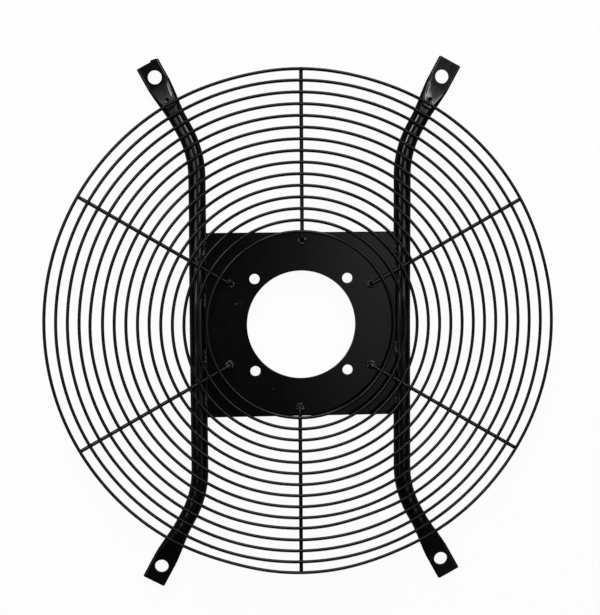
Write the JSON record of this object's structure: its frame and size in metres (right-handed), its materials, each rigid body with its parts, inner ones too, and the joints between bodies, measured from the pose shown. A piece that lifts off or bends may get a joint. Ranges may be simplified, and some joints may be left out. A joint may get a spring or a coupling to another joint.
{
  "type": "wire fan guard",
  "caption": "Round guard of concentric wire rings on radial spokes, with bent mounting tubes and a central plate for a fan motor.",
  "frame": {"origin": "on the fan's axis, at the level of the backs of the tubes that the guard lies on", "axes": "+Z along the fan's axis, out of the wire side; +Y along the straight run of the tubes; +X across them"},
  "size_m": [0.4469, 0.4674, 0.0212],
  "materials": {
    "ring_wire": "black powder coat, satin",
    "spoke_wire": "black powder coat, satin",
    "tube": "black powder coat, satin",
    "plate": "black powder coat, satin",
    "weld": "black powder coat over the weld, satin"
  },
  "bodies": {
    "root": {"ring_01": "ring_wire", "ring_02": "ring_wire", "ring_03": "ring_wire", "ring_04": "ring_wire", "ring_05": "ring_wire", "ring_06": "ring_wire", "ring_07": "ring_wire", "ring_08": "ring_wire", "ring_09": "ring_wire", "ring_10": "ring_wire", "ring_11": "ring_wire", "ring_12": "ring_wire", "ring_13": "ring_wire", "ring_14": "ring_wire", "ring_15": "ring_wire", "spoke_top": "spoke_wire", "spoke_upper_right": "spoke_wire", "spoke_lower_right": "spoke_wire", "spoke_bottom": "spoke_wire", "spoke_lower_left": "spoke_wire", "spoke_upper_left": "spoke_wire", "left_tube": "tube", "right_tube": "tube", "motor_plate": "plate", "spoke_tip_welds": "weld", "left_plate_welds": "weld", "right_plate_welds": "weld", "tube_spoke_welds": "weld"}
  },
  "joints": []
}
